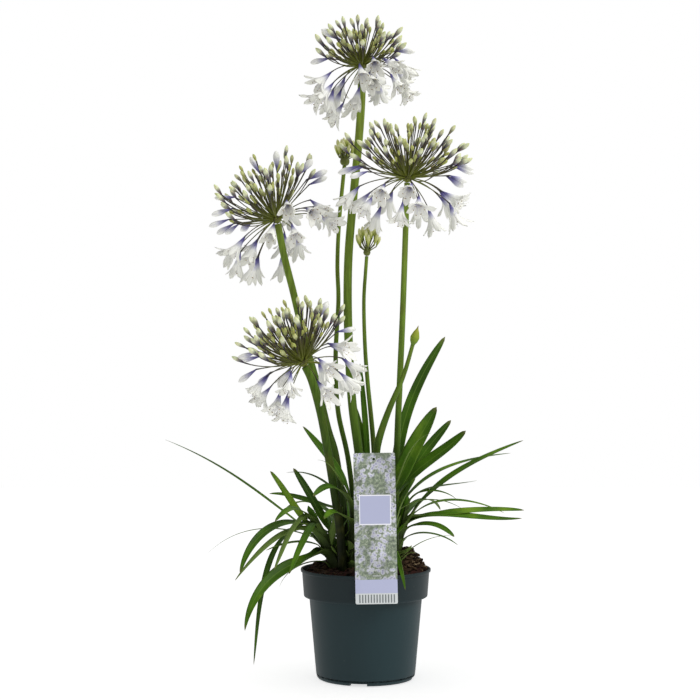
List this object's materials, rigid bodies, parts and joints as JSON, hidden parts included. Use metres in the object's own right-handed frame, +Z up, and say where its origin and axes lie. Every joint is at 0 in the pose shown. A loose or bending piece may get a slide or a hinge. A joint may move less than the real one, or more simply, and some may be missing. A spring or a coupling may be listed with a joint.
{
  "type": "potted agapanthus",
  "caption": "Agapanthus in a round nursery pot: arching strap leaves in fans, tall stalks with round white and violet flower umbels and green bud heads, and a plant label hooked over the rim.",
  "frame": {"origin": "centre of the pot's underside, on the ground", "axes": "+Z up along the pot's axis, -Y towards the side of the pot that carries the label, +X to the right seen from that side"},
  "size_m": [0.4746, 0.3384, 0.8748],
  "materials": {
    "pot": "satin moulded polypropylene, dark slate grey",
    "soil": "rough dark peat and bark",
    "label": "smooth printed plastic",
    "stalk": "satin green stem",
    "leaf": "satin green strap leaf",
    "floret": "white petals over violet tubes",
    "bud": "matt yellow-green buds"
  },
  "bodies": {
    "root": {"pot": "pot", "soil": "soil", "label": "label", "stalk_top": "stalk", "stalk_left": "stalk", "stalk_right": "stalk", "stalk_low": "stalk", "stalk_opening_left": "stalk", "stalk_opening_right": "stalk", "stalk_closed": "stalk", "umbel_top": "floret", "umbel_left": "floret", "umbel_right": "floret", "umbel_low": "floret", "bud_head_opening_left": "bud", "bud_head_opening_right": "bud", "leaves_left": "leaf", "leaves_back_left": "leaf", "leaves_front_left": "leaf", "leaves_back": "leaf", "leaves_back_right": "leaf", "leaves_right": "leaf", "leaves_front_right": "leaf"}
  },
  "joints": []
}
